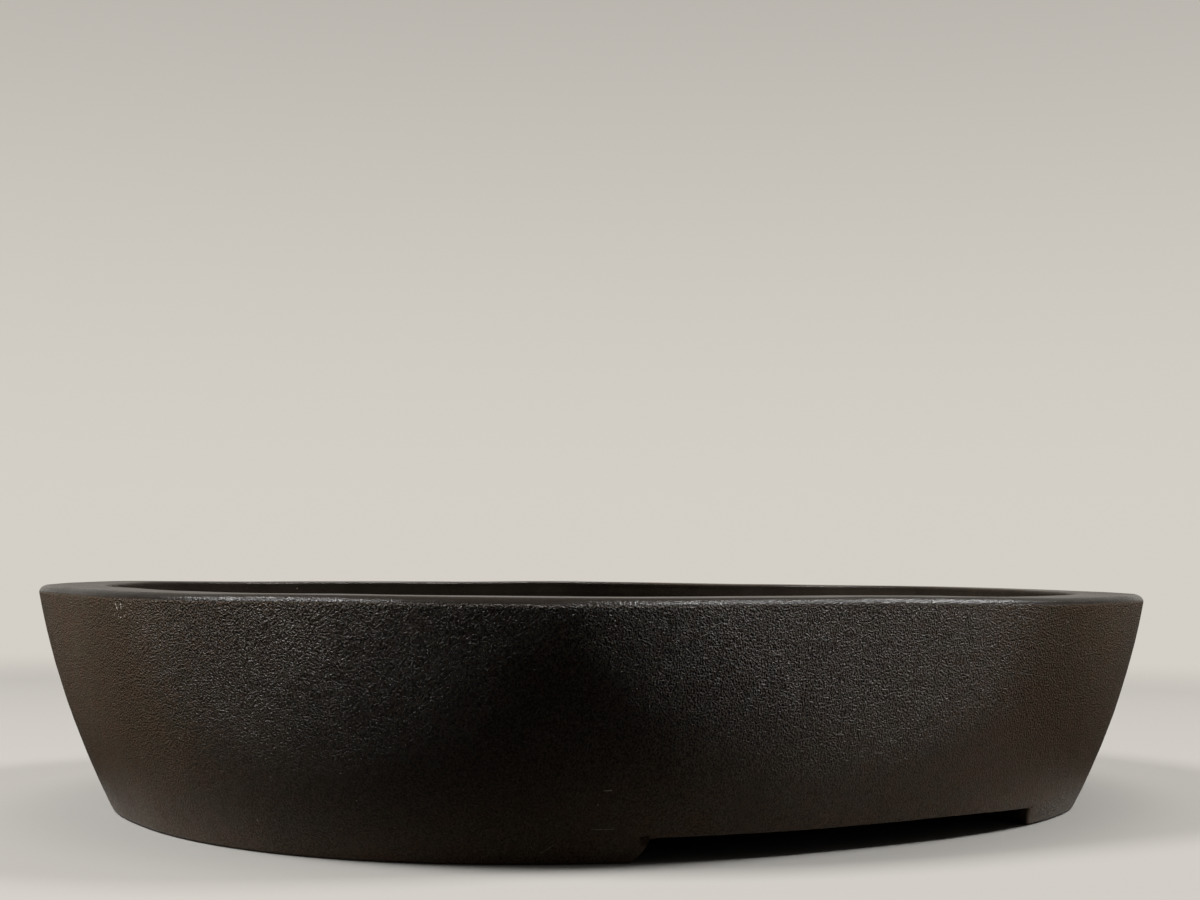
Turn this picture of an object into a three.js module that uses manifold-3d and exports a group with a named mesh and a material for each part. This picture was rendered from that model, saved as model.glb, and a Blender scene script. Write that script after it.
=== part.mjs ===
// Oval bonsai pot of unglazed stoneware, standing on two cut feet.
// The ceramic is a floor slab, a wall band, an inward lip and two feet, luted together at flat seams.
// Each drainage hole has a plastic mesh screen, held by a wire staple.
// Millimetres, +Z up. Origin: the middle of the pot, at the level that the feet stand on.
// +X runs along the length of the oval and +Y across it.

import * as THREE from 'three';
import { mergeVertices } from 'three/addons/utils/BufferGeometryUtils.js';
import Module from 'manifold-3d';

// Outline of the pot
const rimLength = 450;
const rimWidth = 360;
const footLength = 395;
const footWidth = 331;
const potHeight = 85;
const rimSquareness = 2.55; // exponent of the oval: 2 is an ellipse, and more is fuller at the corners
const footSquareness = 2.28;
const wallBow = 3.3; // swell of the wall at mid height, outside a straight taper

// Wall and floor
const wallThickness = 9;
const floorThickness = 9.5;
const coveRadius = 8; // inside, where the wall meets the floor

// Lip
const lipWidth = 23; // from the outside of the wall to the mouth
const lipThickness = 8;
const rimArris = 2;
const mouthArris = 1.5;

// Feet, and the opening between them on each long side
const footHeight = 8.5;
const footDepth = 20; // from the outside of the wall inwards
const footArris = 1;
const openingLength = 167; // along the underside of the floor
const openingSplay = 3; // how much farther each cheek lies back at the ground
const openingCorner = 3; // radius where a cheek meets the floor slab

// Holes through the floor
const drainDiameter = 30;
const drainSpacing = 190;
const tieHoleDiameter = 6;
const tieSpacingAlong = 240;
const tieSpacingAcross = 170;

// Mesh screens
const meshGap = 3;
const meshBar = 1;
const meshThickness = 1.2;
const meshLap = 7; // least cover of the floor round the hole

// Wire staples
const wireDiameter = 1.5;
const wireBend = 2.5; // bend radius at the middle of the wire
const clipTail = 12; // length of each bent leg under the floor, from the leg's middle
const seatGap = 0.3; // between the wire and what it bears on

// Fineness of the solids
const cutOverrun = 1; // how far a cutting solid reaches past what it cuts
const ovalSteps = 72;
const wallSteps = 5;
const arcSteps = 3;
const drainSteps = 28;
const tieSteps = 12;
const wireSides = 8;
const wireSteps = 56;
const weldPlaces = 5; // decimal places to which shared corners agree

// Levels
const floorTop = footHeight + floorThickness;
const lipBase = potHeight - lipThickness;

// Cutting solids reach past the pot's length and width, whichever of rim and foot is the larger
const pastLength = rimLength + footLength;
const pastWidth = rimWidth + footWidth;

const wasm = await Module();
wasm.setup();

// Solids

function welded(geometry) {
  const bare = geometry.clone();
  bare.deleteAttribute('normal');
  bare.deleteAttribute('uv');
  return mergeVertices(bare, 10 ** -weldPlaces);
}

function toSolid(geometry) {
  const closed = welded(geometry);
  const vertProperties = new Float32Array(closed.attributes.position.array);
  const triVerts = new Uint32Array(closed.index.array);
  return new wasm.Manifold(new wasm.Mesh({ numProp: 3, vertProperties, triVerts }));
}

function toGeometry(solid) {
  const mesh = solid.getMesh();
  const geometry = new THREE.BufferGeometry();
  geometry.setAttribute('position', new THREE.BufferAttribute(mesh.vertProperties, 3));
  geometry.setIndex(new THREE.BufferAttribute(mesh.triVerts, 1));
  return geometry;
}

// The oval at any height. The wall swells out from a straight taper by a parabola.

function taper(drop, footInset) {
  return footInset * drop - 4 * wallBow * drop * (1 - drop);
}

function ovalAt(z, inset) {
  const drop = 1 - z / potHeight;
  const halfLength = rimLength / 2 - taper(drop, (rimLength - footLength) / 2) - inset;
  const halfWidth = rimWidth / 2 - taper(drop, (rimWidth - footWidth) / 2) - inset;
  const squareness = rimSquareness + (footSquareness - rimSquareness) * drop;
  const points = [];
  for (let step = 0; step < ovalSteps; step++) {
    const angle = (step / ovalSteps) * 2 * Math.PI;
    const along = Math.abs(Math.cos(angle) / halfLength) ** squareness;
    const across = Math.abs(Math.sin(angle) / halfWidth) ** squareness;
    const radius = (along + across) ** (-1 / squareness);
    points.push([radius * Math.cos(angle), radius * Math.sin(angle), z]);
  }
  return points;
}

function ringGeometry(rings, capped) {
  const positions = rings.flat(2);
  const index = [];
  const bands = capped ? rings.length - 1 : rings.length;
  for (let ring = 0; ring < bands; ring++) {
    const low = ring * ovalSteps;
    const high = ((ring + 1) % rings.length) * ovalSteps;
    for (let step = 0; step < ovalSteps; step++) {
      const next = (step + 1) % ovalSteps;
      index.push(low + step, low + next, high + next);
      index.push(low + step, high + next, high + step);
    }
  }
  if (capped) {
    const top = (rings.length - 1) * ovalSteps;
    const lowCentre = positions.length / 3;
    const highCentre = lowCentre + 1;
    positions.push(0, 0, rings[0][0][2], 0, 0, rings[rings.length - 1][0][2]);
    for (let step = 0; step < ovalSteps; step++) {
      const next = (step + 1) % ovalSteps;
      index.push(lowCentre, next, step);
      index.push(highCentre, top + step, top + next);
    }
  }
  const geometry = new THREE.BufferGeometry();
  geometry.setAttribute('position', new THREE.Float32BufferAttribute(positions, 3));
  geometry.setIndex(index);
  return geometry;
}

// A section is a closed list of [inset, height] points, up the outside and down the inside

function sweptRing(section) {
  return ringGeometry(section.map(([inset, z]) => ovalAt(z, inset)), false);
}

function arc(inset, z, radius, from, to) {
  const points = [];
  for (let step = 0; step <= arcSteps; step++) {
    const angle = from + ((to - from) * step) / arcSteps;
    points.push([inset - radius * Math.cos(angle), z + radius * Math.sin(angle)]);
  }
  return points;
}

function rise(inset, from, to, steps) {
  const points = [];
  for (let step = 0; step < steps; step++) {
    points.push([inset, from + ((to - from) * step) / steps]);
  }
  return points;
}

// Ceramic

function wallBand() {
  const coveTop = floorTop + coveRadius;
  const innerFoot = wallThickness + coveRadius;
  return sweptRing([
    ...rise(0, floorTop, lipBase, wallSteps),
    [0, lipBase],
    ...rise(wallThickness, lipBase, coveTop, wallSteps),
    ...arc(innerFoot, coveTop, coveRadius, 0, -Math.PI / 2),
  ]);
}

function rimLip() {
  const mouthBend = lipWidth - mouthArris;
  return sweptRing([
    [0, lipBase],
    ...arc(rimArris, potHeight - rimArris, rimArris, 0, Math.PI / 2),
    ...arc(mouthBend, potHeight - mouthArris, mouthArris, Math.PI / 2, Math.PI),
    ...arc(mouthBend, lipBase + mouthArris, mouthArris, Math.PI, 1.5 * Math.PI),
  ]);
}

function floorHole(diameter, sides, x, y) {
  const reach = floorThickness + 2 * cutOverrun;
  const hole = new THREE.CylinderGeometry(diameter / 2, diameter / 2, reach, sides);
  hole.rotateX(Math.PI / 2);
  hole.translate(x, y, footHeight + floorThickness / 2);
  return toSolid(hole);
}

function floorSlab() {
  let slab = toSolid(ringGeometry([ovalAt(footHeight, 0), ovalAt(floorTop, 0)], true));
  for (const end of [-1, 1]) {
    slab = slab.subtract(floorHole(drainDiameter, drainSteps, (end * drainSpacing) / 2, 0));
    for (const side of [-1, 1]) {
      const x = (end * tieSpacingAlong) / 2;
      const y = (side * tieSpacingAcross) / 2;
      slab = slab.subtract(floorHole(tieHoleDiameter, tieSteps, x, y));
    }
  }
  return toGeometry(slab);
}

// The opening's outline, seen along Y, is cut right through from the front to the back

function openingBlock() {
  const top = openingLength / 2;
  const foot = top + openingSplay;
  const bend = top - openingCorner;
  const bendHeight = footHeight - openingCorner;
  const outline = new THREE.Shape();
  outline.moveTo(-foot, -cutOverrun);
  outline.lineTo(foot, -cutOverrun);
  outline.lineTo(foot, 0);
  outline.lineTo(top, bendHeight);
  outline.absarc(bend, bendHeight, openingCorner, 0, Math.PI / 2, false);
  outline.lineTo(bend, footHeight + cutOverrun);
  outline.lineTo(-bend, footHeight + cutOverrun);
  outline.absarc(-bend, bendHeight, openingCorner, Math.PI / 2, Math.PI, false);
  outline.lineTo(-foot, 0);
  const block = new THREE.ExtrudeGeometry(outline, {
    depth: pastWidth,
    bevelEnabled: false,
    curveSegments: arcSteps,
  });
  block.rotateX(Math.PI / 2);
  block.translate(0, pastWidth / 2, 0);
  return toSolid(block);
}

function footEnd(end) {
  const ring = toSolid(sweptRing([
    ...arc(footArris, footArris, footArris, -Math.PI / 2, 0),
    [0, footHeight],
    [footDepth, footHeight],
    ...arc(footDepth - footArris, footArris, footArris, Math.PI, 1.5 * Math.PI),
  ]));
  const otherEnd = new THREE.BoxGeometry(pastLength, pastWidth, 2 * (footHeight + cutOverrun));
  otherEnd.translate((-end * pastLength) / 2, 0, 0);
  return toGeometry(ring.subtract(openingBlock()).subtract(toSolid(otherEnd)));
}

// Screens and their staples, each about the middle of its drainage hole, with z = 0 on the floor's top

const meshPitch = meshGap + meshBar;

// An odd count, so that a gap lies over the middle of the hole

function meshGaps() {
  const least = (drainDiameter + 2 * meshLap - meshBar) / meshPitch;
  return 2 * Math.ceil((least - 1) / 2) + 1;
}

// The screen is a grid of cells between the edges of its bars: every cell in an odd row and column is a gap

function screenGeometry() {
  const gaps = meshGaps();
  const cells = 2 * gaps + 1;
  const corner = -(gaps * meshPitch + meshBar) / 2;
  const edge = (line) => corner + Math.floor(line / 2) * meshPitch + (line % 2) * meshBar;
  const inside = (cell) => cell >= 0 && cell < cells;
  const solid = (column, row) => inside(column) && inside(row) && (column % 2 === 0 || row % 2 === 0);
  const corners = [];
  const face = (a, b, c, d) => corners.push(...a, ...b, ...c, ...a, ...c, ...d);
  for (let column = 0; column < cells; column++) {
    for (let row = 0; row < cells; row++) {
      if (!solid(column, row)) continue;
      const [x0, x1] = [edge(column), edge(column + 1)];
      const [y0, y1] = [edge(row), edge(row + 1)];
      const z = meshThickness;
      face([x0, y0, z], [x1, y0, z], [x1, y1, z], [x0, y1, z]);
      face([x0, y0, 0], [x0, y1, 0], [x1, y1, 0], [x1, y0, 0]);
      if (!solid(column - 1, row)) face([x0, y0, 0], [x0, y0, z], [x0, y1, z], [x0, y1, 0]);
      if (!solid(column + 1, row)) face([x1, y0, 0], [x1, y1, 0], [x1, y1, z], [x1, y0, z]);
      if (!solid(column, row - 1)) face([x0, y0, 0], [x1, y0, 0], [x1, y0, z], [x0, y0, z]);
      if (!solid(column, row + 1)) face([x0, y1, 0], [x0, y1, z], [x1, y1, z], [x1, y1, 0]);
    }
  }
  const geometry = new THREE.BufferGeometry();
  geometry.setAttribute('position', new THREE.Float32BufferAttribute(corners, 3));
  return geometry;
}

// The legs stand in the outermost gaps of the mesh that clear the hole's wall

function legOffset() {
  const room = drainDiameter / 2 - wireDiameter / 2 - seatGap;
  return Math.floor(room / meshPitch) * meshPitch;
}

function bentWire(corners) {
  const path = new THREE.CurvePath();
  let from = corners[0];
  for (let turn = 1; turn < corners.length - 1; turn++) {
    const corner = corners[turn];
    const before = corner.clone().sub(corners[turn - 1]).setLength(wireBend);
    const after = corners[turn + 1].clone().sub(corner).setLength(wireBend);
    const start = corner.clone().sub(before);
    const end = corner.clone().add(after);
    path.add(new THREE.LineCurve3(from, start));
    path.add(new THREE.QuadraticBezierCurve3(start, corner, end));
    from = end;
  }
  path.add(new THREE.LineCurve3(from, corners[corners.length - 1]));
  return path;
}

function clipGeometry() {
  const leg = legOffset();
  const top = meshThickness + seatGap + wireDiameter / 2;
  const under = -floorThickness - seatGap - wireDiameter / 2;
  const path = bentWire([
    new THREE.Vector3(-leg - clipTail, 0, under),
    new THREE.Vector3(-leg, 0, under),
    new THREE.Vector3(-leg, 0, top),
    new THREE.Vector3(leg, 0, top),
    new THREE.Vector3(leg, 0, under),
    new THREE.Vector3(leg + clipTail, 0, under),
  ]);
  const section = new THREE.Shape();
  for (let side = 0; side < wireSides; side++) {
    const angle = (side / wireSides) * 2 * Math.PI;
    const x = (wireDiameter / 2) * Math.cos(angle);
    const y = (wireDiameter / 2) * Math.sin(angle);
    if (side === 0) section.moveTo(x, y);
    else section.lineTo(x, y);
  }
  return new THREE.ExtrudeGeometry(section, { extrudePath: path, steps: wireSteps, bevelEnabled: false });
}

// Assembly

function stoneware() {
  return new THREE.MeshStandardMaterial({ color: 0x3a3028, roughness: 0.7, metalness: 0 });
}

function plasticMesh() {
  return new THREE.MeshStandardMaterial({ color: 0x1f2420, roughness: 0.55, metalness: 0 });
}

function aluminiumWire() {
  return new THREE.MeshStandardMaterial({ color: 0x6d4a33, roughness: 0.4, metalness: 1 });
}

function piece(name, geometry, material) {
  const mesh = new THREE.Mesh(welded(geometry), material);
  mesh.name = name;
  return mesh;
}

const pot = new THREE.Group();
pot.add(piece('floor_slab', floorSlab(), stoneware()));
pot.add(piece('wall_band', wallBand(), stoneware()));
pot.add(piece('rim_lip', rimLip(), stoneware()));
pot.add(piece('foot_left', footEnd(-1), stoneware()));
pot.add(piece('foot_right', footEnd(1), stoneware()));

for (const [label, end] of [['left', -1], ['right', 1]]) {
  const drain = new THREE.Group();
  drain.position.set((end * drainSpacing) / 2, 0, floorTop);
  drain.add(piece(`drain_screen_${label}`, screenGeometry(), plasticMesh()));
  drain.add(piece(`screen_clip_${label}`, clipGeometry(), aluminiumWire()));
  pot.add(drain);
}

export default pot;
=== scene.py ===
# Oval bonsai pot of unglazed stoneware with a fine pear-skin grain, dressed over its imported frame.
# Metres, +Z up, +X along the length of the oval. The fired body is made of a wall, a lip, a floor
# and two feet, which meet on one continuous surface. Screens and wire staples cover the drain holes.

import math

import bpy
import numpy as np
from mathutils import Matrix, Vector
from mathutils.geometry import delaunay_2d_cdt


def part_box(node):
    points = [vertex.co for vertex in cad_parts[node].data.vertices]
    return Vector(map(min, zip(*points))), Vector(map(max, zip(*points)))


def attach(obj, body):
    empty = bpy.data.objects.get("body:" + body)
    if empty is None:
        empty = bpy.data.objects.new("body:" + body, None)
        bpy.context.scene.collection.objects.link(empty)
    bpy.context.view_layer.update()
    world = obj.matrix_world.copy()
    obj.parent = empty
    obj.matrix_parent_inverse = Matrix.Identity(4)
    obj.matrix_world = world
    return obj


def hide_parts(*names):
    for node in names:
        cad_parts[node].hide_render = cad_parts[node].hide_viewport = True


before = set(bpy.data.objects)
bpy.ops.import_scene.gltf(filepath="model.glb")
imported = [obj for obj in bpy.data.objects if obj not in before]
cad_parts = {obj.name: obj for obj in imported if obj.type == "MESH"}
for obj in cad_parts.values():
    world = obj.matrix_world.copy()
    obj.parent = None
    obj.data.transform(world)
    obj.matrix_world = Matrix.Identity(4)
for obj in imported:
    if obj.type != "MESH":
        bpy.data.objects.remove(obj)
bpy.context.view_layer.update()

MM = 0.001

# Outline of the pot: an oval whose exponent and size change from the rim to the foot
RIM_LENGTH = 450 * MM
RIM_WIDTH = 360 * MM
FOOT_LENGTH = 395 * MM
FOOT_WIDTH = 331 * MM
RIM_SQUARENESS = 2.55
FOOT_SQUARENESS = 2.28
WALL_BOW = 3.3 * MM

# Levels, from the frame
POT_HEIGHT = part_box("rim_lip")[1].z
LIP_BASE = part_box("rim_lip")[0].z
FLOOR_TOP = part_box("floor_slab")[1].z
FOOT_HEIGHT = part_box("floor_slab")[0].z

# Wall and lip. The rim's rounding makes RIM_TURN of a quarter turn before it meets the flat
WALL_THICKNESS = 9 * MM
COVE_RADIUS = 8 * MM
LIP_WIDTH = 23 * MM
RIM_INSET = 3.2 * MM
RIM_DROP = 3.2 * MM
RIM_TURN = 0.8
MOUTH_ARRIS = 0.8 * MM
MOUTH_SLANT = 2.0 * MM
MOUTH_WEAR = 0.2

# Along the rim's rounding, from 0 at the wall to 1 at the flat: where handling smooths the grain and
# painted shade darkens the clay, where wiping levels the surface, and how much of the grain handling takes
# away
RIM_SMOOTHED_AND_SHADED = (0.05, 0.35)
RIM_WIPED = (0.58, 0.72)
RIM_GRAIN_LOST = 0.79

# Feet, laid out as straight bars of FOOT_BAR metres before they are bent, and the floor's lower edge
FOOT_BAR = 0.42
FOOT_DEPTH = 20 * MM
FOOT_ARRIS = 1.3 * MM
OPENING_ARRIS = 0.7 * MM
FLUSH_ARRIS = 0.02 * MM

# How strong the grain is on the sides that the wall's outside doesn't show
INSIDE_GRAIN = 0.3
FOOT_GRAIN = 0.35
SHEET_GRAIN = 0.4

# The four cheeks of the two openings, cut by hand: end and side, then the distance from the middle
# just under the floor, how much further out the cheek meets the ground, and its corner's radius
CHEEKS = {
    (-1, -1): (82.0 * MM, 3.9 * MM, 2.6 * MM),
    (1, -1): (87.2 * MM, 2.9 * MM, 1.0 * MM),
    (-1, 1): (84.5 * MM, 2.2 * MM, 2.0 * MM),
    (1, 1): (83.0 * MM, 3.0 * MM, 1.6 * MM),
}

# Gouges that the cutter left at the tops of the cheeks: end and side, then place along X, height,
# radius and how far its middle stands out of the surface
GOUGES = {
    (-1, -1): (-83.6 * MM, 7.7 * MM, 1.85 * MM, -0.5 * MM),
    (1, -1): (88.0 * MM, 8.6 * MM, 0.9 * MM, 0.5 * MM),
    (-1, 1): (-85.6 * MM, 7.6 * MM, 1.3 * MM, 0.5 * MM),
    (1, 1): (84.2 * MM, 8.0 * MM, 1.1 * MM, 0.4 * MM),
}

# How the clay sank over the openings: side, middle along X, spread and how far
SAGS = (
    (-1, 95 * MM, 36 * MM, 1.25 * MM),
    (-1, -20 * MM, 60 * MM, 0.2 * MM),
    (1, 15 * MM, 50 * MM, 0.6 * MM),
)
SAG_INWARDS = (20 * MM, 50 * MM)

# Holes through the floor
DRAIN_RADIUS = 15 * MM
TIE_RADIUS = 3 * MM
TIE_ALONG = 120 * MM
TIE_ACROSS = 85 * MM
HOLE_ARRIS = 1.2 * MM
DRAIN_ALONG = (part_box("drain_screen_right")[0].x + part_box("drain_screen_right")[1].x) / 2

# The plastic screens, and the wire that holds them: its legs' distance from the middle and its bends
SCREEN_GAP = 3 * MM
SCREEN_BAR = 1 * MM
SCREEN_SOFTENED = 0.3 * MM
WIRE_LEG = 12 * MM
WIRE_BEND = 2.5 * MM

# Fineness of the meshes
COLUMNS = 1400
CORNER_COLUMNS = 2.2
CORNER_SPREAD = 6 * MM
ROW = 1.0 * MM
FINE_ROW = 0.35 * MM
COARSE_ROW = 2.0 * MM
FOOT_ROW = 0.6 * MM
FINE_REACH = 7 * MM
ARC_ROWS = 7
EDGE_ROWS = 5
RIM_ROWS = 16
COVE_ROWS = 14
FLOOR_GRID = 7 * MM
DRAIN_SIDES = 64
TIE_SIDES = 28
WIRE_SIDES = 20
WIRE_STEP = 1.2 * MM
WIRE_BEND_STEPS = 8
TINY = 1e-7


# Noise

def lattice_value(ix, iy, iz, seed):
    """A repeatable number from -1 to 1 for each whole-numbered point."""
    key = ix * 374761393 + iy * 668265263 + iz * 2147483647 + seed * 974634777
    key = (key ^ (key >> 13)) * 1274126177
    key = key ^ (key >> 16)
    return (key & 0xFFFFFF) / float(0x7FFFFF) - 1.0


def smooth_noise(points, size, seed):
    """Smooth noise from -1 to 1 whose features are about one size across."""
    scaled = points / size
    cell = np.floor(scaled).astype(np.int64)
    part = scaled - cell
    blend = part * part * part * (part * (part * 6 - 15) + 10)
    total = np.zeros(len(points))
    for dx in (0, 1):
        wx = blend[:, 0] if dx else 1 - blend[:, 0]
        for dy in (0, 1):
            wy = blend[:, 1] if dy else 1 - blend[:, 1]
            for dz in (0, 1):
                wz = blend[:, 2] if dz else 1 - blend[:, 2]
                corner = lattice_value(cell[:, 0] + dx, cell[:, 1] + dy, cell[:, 2] + dz, seed)
                total += wx * wy * wz * corner
    return total


def smooth_step(value, low, high):
    t = np.clip((value - low) / (high - low), 0, 1)
    return t * t * (3 - 2 * t)


# The oval, and what the maker's hands did to it

def taper(drop, foot_inset):
    return foot_inset * drop - 4 * WALL_BOW * drop * (1 - drop)


def oval_size(z, inset):
    drop = 1 - z / POT_HEIGHT
    half_length = RIM_LENGTH / 2 - taper(drop, (RIM_LENGTH - FOOT_LENGTH) / 2) - inset
    half_width = RIM_WIDTH / 2 - taper(drop, (RIM_WIDTH - FOOT_WIDTH) / 2) - inset
    squareness = RIM_SQUARENESS + (FOOT_SQUARENESS - RIM_SQUARENESS) * drop
    return half_length, half_width, squareness


def oval_points(angle, z, inset):
    """Points of the oval, with angle, z and inset as arrays of one shape."""
    half_length, half_width, squareness = oval_size(z, inset)
    along = np.abs(np.cos(angle) / half_length) ** squareness
    across = np.abs(np.sin(angle) / half_width) ** squareness
    radius = (along + across) ** (-1 / squareness)
    return np.stack([radius * np.cos(angle), radius * np.sin(angle), z + 0 * radius], -1)


def outward(points):
    """Level direction out of the oval through each point."""
    half_length, half_width, squareness = RIM_LENGTH / 2, RIM_WIDTH / 2, RIM_SQUARENESS
    x, y = points[:, 0], points[:, 1]
    out = np.zeros_like(points)
    out[:, 0] = np.sign(x) * np.abs(x) ** (squareness - 1) / half_length ** squareness
    out[:, 1] = np.sign(y) * np.abs(y) ** (squareness - 1) / half_width ** squareness
    length = np.linalg.norm(out, axis=1)
    return out / np.where(length > 0, length, 1)[:, None]


def across_oval(x, z, inset):
    """Half the oval's width at a distance along it."""
    half_length, half_width, squareness = oval_size(z, inset)
    share = np.maximum(1 - (np.abs(x) / half_length) ** squareness, 0)
    return half_width * share ** (1 / squareness)


def column_angles():
    """Angles round the oval, evenly spaced along it and closer together at the openings' cheeks."""
    fine = np.linspace(0, 2 * np.pi, 40001)[:-1]
    spots = oval_points(fine, FOOT_HEIGHT + 0 * fine, 0 * fine)
    weight = np.hypot(spots[:, 0], spots[:, 1])
    for (end, side), (half, _, _) in CHEEKS.items():
        near = np.exp(-(((spots[:, 0] - end * half) / CORNER_SPREAD) ** 4)) * (spots[:, 1] * side > 0)
        weight = weight * (1 + CORNER_COLUMNS * near)
    total = np.concatenate([[0], np.cumsum(weight)])
    share = np.linspace(0, total[-1], COLUMNS + 1)[:-1]
    return np.interp(share, total, np.append(fine, 2 * np.pi))


TURN = column_angles()

# Low rises and dips of the rim: middle in degrees round the oval, spread in degrees, height
RIM_RISES = (
    (-112, 60, 0.48 * MM),
    (-162, 9, -0.36 * MM),
    (-125, 16, -0.2 * MM),
    (-113, 8, -0.1 * MM),
    (-92, 14, 0.12 * MM),
    (-61, 9, -0.4 * MM),
    (-30, 12, -0.15 * MM),
    (8, 14, 0.2 * MM),
    (38, 12, -0.25 * MM),
    (66, 14, 0.5 * MM),
    (140, 10, 0.45 * MM),
)

# Where the grain is fainter: middle in degrees round the oval, spread in degrees, how much fainter
GRAIN_FADES = (
    (-180, 17, 0.62),
    (-56, 22, 0.62),
    (20, 15, 0.3),
    (95, 25, 0.45),
)

# The fades begin this far from the pot's middle, so that they don't meet in a fan on the floor
FADES_BEGIN = (100 * MM, 150 * MM)

# Between these heights the grain comes back from being rubbed, and this share is left below them
GRAIN_RUBBED = (15 * MM, 60 * MM)
GRAIN_LEFT_BELOW = 0.6

# What hand forming left uneven: height, size across and seed of each kind
RIM_WAVE = (0.12 * MM, 30 * MM, 5)
WALL_SWELL = (0.45 * MM, 85 * MM, 11)
WALL_DENTS = (0.16 * MM, 28 * MM, 12)
GRAIN_COARSE = (0.04 * MM, 6.0 * MM, 13)
GRAIN_FINE = (0.03 * MM, 2.8 * MM, 14)

# How far below the lip the rim's rises reach, and the heights over which the dents begin
RIM_REACH = 40 * MM
DENTS_BEGIN = (0, 10 * MM)


def bumps_round(points, table):
    """Sum of smooth bumps round the oval: middle and spread in degrees, then height."""
    angle = np.degrees(np.arctan2(points[:, 1], points[:, 0]))
    total = np.zeros(len(points))
    for middle, spread, height in table:
        away = (angle - middle + 180) % 360 - 180
        total += height * np.exp(-((away / spread) ** 2))
    return total


def uneven(points, kind):
    height, size, seed = kind
    return height * smooth_noise(points, size, seed)


def grain_share(points):
    """How strong the grain is: the maker's hands smoothed it in places, and low down."""
    outside = smooth_step(np.hypot(points[:, 0], points[:, 1]), *FADES_BEGIN)
    share = 1 - outside * bumps_round(points, GRAIN_FADES)
    rubbed = smooth_step(points[:, 2], *GRAIN_RUBBED)
    return share * (GRAIN_LEFT_BELOW + (1 - GRAIN_LEFT_BELOW) * rubbed)


def gouge(points):
    """Presses points that lie inside a gouge's ball inwards onto its far side."""
    inward = -outward(points)
    moved = points.copy()
    for (_, side), (x, z, radius, proud) in GOUGES.items():
        rim = np.array([[x, side * across_oval(x, z, 0), z]])
        centre = rim + outward(rim) * proud
        away = moved - centre
        along = np.einsum("ij,ij->i", away, inward)
        square = np.einsum("ij,ij->i", away, away)
        step = -along + np.sqrt(np.maximum(along ** 2 - square + radius ** 2, 0))
        moved += inward * np.where(square < radius ** 2, step, 0)[:, None]
    return moved


def sag(points):
    """How far the clay sank at each point, over the openings and at the tops of the feet beside them."""
    x, y, z = points.T
    above = smooth_step(z, FOOT_HEIGHT, FLOOR_TOP)
    share = smooth_step(z, 1 * MM, FOOT_HEIGHT) * (1 - above)
    share *= 1 - smooth_step(across_oval(x, FOOT_HEIGHT, 0) - np.abs(y), *SAG_INWARDS)
    drop = np.zeros(len(points))
    for side, middle, spread, depth in SAGS:
        drop += (y * side > 0) * depth * np.exp(-(((x - middle) / spread) ** 2))
    return drop * share


def handmade(points, relief):
    """Moves points as hand forming did. relief is 1 where the pear-skin grain swells the surface."""
    near_rim = smooth_step(points[:, 2], LIP_BASE - RIM_REACH, POT_HEIGHT)
    rise = bumps_round(points, RIM_RISES) + uneven(points * [1, 1, 0], RIM_WAVE)
    swell = uneven(points, WALL_SWELL)
    swell += uneven(points, WALL_DENTS) * smooth_step(points[:, 2], *DENTS_BEGIN)
    swell += relief * (uneven(points, GRAIN_COARSE) + uneven(points, GRAIN_FINE))
    moved = gouge(points) + outward(points) * swell[:, None]
    moved[:, 2] += rise * near_rim - sag(points)
    return moved


# Meshes

def build_mesh(name, points, faces, material, grain, wear_and_rim_shade, sharp_angle=40):
    """A closed mesh object with smooth shading, and the grain, the wear and the painted rim shade of its
    surface as attributes.
    """
    mesh = bpy.data.meshes.new(name)
    mesh.from_pydata(points.tolist(), [], faces)
    for label, values in (("grain", grain), ("wear_and_rim_shade", wear_and_rim_shade), ("share", grain_share(points))):
        attribute = mesh.attributes.new(label, "FLOAT", "POINT")
        attribute.data.foreach_set("value", np.asarray(values, np.float32))
    mesh.validate()
    mesh.polygons.foreach_set("use_smooth", np.ones(len(mesh.polygons), bool))
    mesh.set_sharp_from_angle(angle=math.radians(sharp_angle))
    mesh.materials.append(material)
    piece = bpy.data.objects.new(name, mesh)
    bpy.context.scene.collection.objects.link(piece)
    return piece


def rows(low, high, step):
    """Levels from low up to but not including high."""
    count = max(1, round(abs(high - low) / step))
    return [low + (high - low) * i / count for i in range(count)]


def arc(inset, z, radius, start, stop, count):
    """Section points round a corner; angles in quarter turns, 0 outwards and 1 up."""
    turns = [start + (stop - start) * i / count for i in range(count + 1)]
    return [
        (inset - radius * math.cos(t * math.pi / 2), z + radius * math.sin(t * math.pi / 2))
        for t in turns
    ]


def ring_faces(row_count, column_count):
    row = np.arange(row_count)[:, None]
    column = np.arange(column_count)[None, :]
    next_row = (row + 1) % row_count
    next_column = (column + 1) % column_count
    faces = np.stack(
        [
            row * column_count + column,
            row * column_count + next_column,
            next_row * column_count + next_column,
            next_row * column_count + column,
        ],
        -1,
    )
    return faces.reshape(-1, 4).tolist()


def outer_normals(angle, z):
    """Normals of the finished outer surface, which neighbouring pieces share at their seams."""
    da, dz = 0.4 * MM / (RIM_LENGTH / 2), 0.4 * MM
    ones = np.ones(len(angle))

    def surface(a, level):
        return handmade(oval_points(a, level, 0 * a), ones)

    across = surface(angle + da, z) - surface(angle - da, z)
    up = surface(angle, z + dz) - surface(angle, z - dz)
    normal = np.cross(across, up)
    return normal / np.linalg.norm(normal, axis=1)[:, None]


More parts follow.
